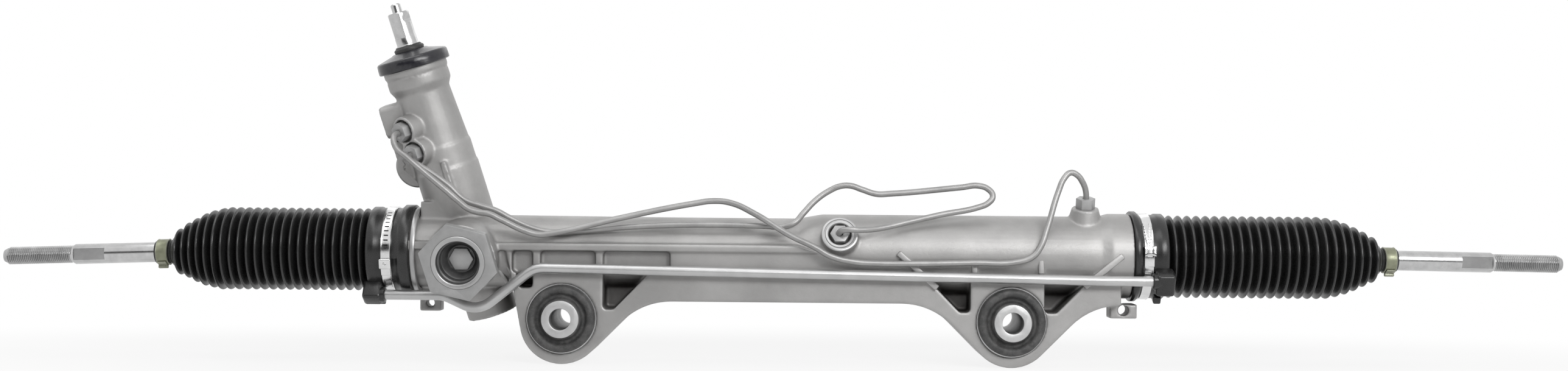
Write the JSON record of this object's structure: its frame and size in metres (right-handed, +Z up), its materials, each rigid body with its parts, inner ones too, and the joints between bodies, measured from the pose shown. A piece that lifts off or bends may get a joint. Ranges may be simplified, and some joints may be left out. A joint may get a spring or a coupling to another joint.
{
  "type": "hydraulic steering rack",
  "caption": "Hydraulic rack-and-pinion steering gear with a leaning valve tower, ribbed mounting arms with rubber bushes, bellows boots, steel transfer lines and threaded inner tie rods.",
  "frame": {"origin": "midway between the two mounting bush bores, on the plane of the rear ends of their steel sleeves", "axes": "+X along the rack to the right as seen from the front, away from the valve tower; +Y to the rear, through the bush bores; +Z up"},
  "size_m": [1.252, 0.1, 0.285],
  "materials": {
    "cast_aluminium": "matte as-cast",
    "machined_steel": "bright turned",
    "zinc_steel": "satin zinc plate",
    "plated_nut": "satin plate",
    "stainless_band": "bright",
    "olive_clip": "olive passivated",
    "boot_black": "glossy black",
    "bush_rubber": "dull black",
    "cap_black": "satin black",
    "seal_rubber": "dull black",
    "bearing_bronze": "plain",
    "seat_plastic": "natural",
    "spring_steel": "blued"
  },
  "bodies": {
    "housing": {"rack_housing": "cast_aluminium", "left_bush_shell": "zinc_steel", "right_bush_shell": "zinc_steel", "left_bush_rubber": "bush_rubber", "right_bush_rubber": "bush_rubber", "left_bush_sleeve": "zinc_steel", "right_bush_sleeve": "zinc_steel", "rack_yoke": "cast_aluminium", "yoke_spring": "spring_steel", "yoke_plug": "machined_steel", "yoke_lock_nut": "plated_nut", "pinion_upper_bearing": "machined_steel", "input_bearing": "machined_steel", "input_seal": "seal_rubber", "seal_retainer": "spring_steel", "dust_cap": "cap_black", "shaft_collar": "seal_rubber", "pinion_lower_bearing": "machined_steel", "pinion_end_cap": "zinc_steel", "inner_rack_bush": "bearing_bronze", "inner_rack_seal": "seal_rubber", "outer_rack_seal": "seal_rubber", "end_bulkhead": "cast_aluminium", "bulkhead_retainer": "spring_steel", "left_boot": "boot_black", "right_boot": "boot_black", "left_boot_clamp": "stainless_band", "right_boot_clamp": "stainless_band", "long_transfer_line": "zinc_steel", "short_transfer_line": "zinc_steel", "breather_tube": "machined_steel", "tube_nuts": "plated_nut"},
    "rack": {"rack_bar": "machined_steel", "piston": "machined_steel", "piston_ring": "seat_plastic", "left_ball_socket": "machined_steel", "right_ball_socket": "machined_steel", "left_ball_seat": "seat_plastic", "right_ball_seat": "seat_plastic"},
    "pinion": {"pinion": "machined_steel", "valve_sleeve": "machined_steel", "sleeve_rings": "seat_plastic", "pinion_lock_nut": "plated_nut", "torsion_bar": "spring_steel"},
    "input": {"input_shaft": "machined_steel"},
    "left_rod": {"left_tie_rod": "machined_steel", "left_neck_clamp": "olive_clip"},
    "right_rod": {"right_tie_rod": "machined_steel", "right_neck_clamp": "olive_clip"}
  },
  "joints": [
    {"name": "rack_slide", "type": "slide", "parent": "housing", "child": "rack", "axis": [1, 0, 0], "range_m": [-0.0735, 0.0655], "deforming": ["left_boot", "right_boot"]},
    {"name": "pinion_spin", "type": "hinge", "parent": "housing", "child": "pinion", "pos_m": [-0.256, -0.02089, 0.05439], "axis": [-0.284, -0.15, 0.947], "range_deg": [-612, 546]},
    {"name": "input_twist", "type": "hinge", "parent": "pinion", "child": "input", "pos_m": [-0.256, -0.02089, 0.05439], "axis": [-0.284, -0.15, 0.947], "range_deg": [-4, 4], "stiffness_Nm_per_rad": 40},
    {"name": "left_tie_rod_swing", "type": "hinge", "parent": "rack", "child": "left_rod", "pos_m": [-0.394, -0.036, 0.052], "axis": [0, 1, 0], "range_deg": [-14, 14]},
    {"name": "right_tie_rod_swing", "type": "hinge", "parent": "rack", "child": "right_rod", "pos_m": [0.388, -0.036, 0.052], "axis": [0, 1, 0], "range_deg": [-14, 14]}
  ],
  "couplings": [
    {"joint": "pinion_spin", "follows": "rack_slide", "rad_per_m": 144.18}
  ]
}
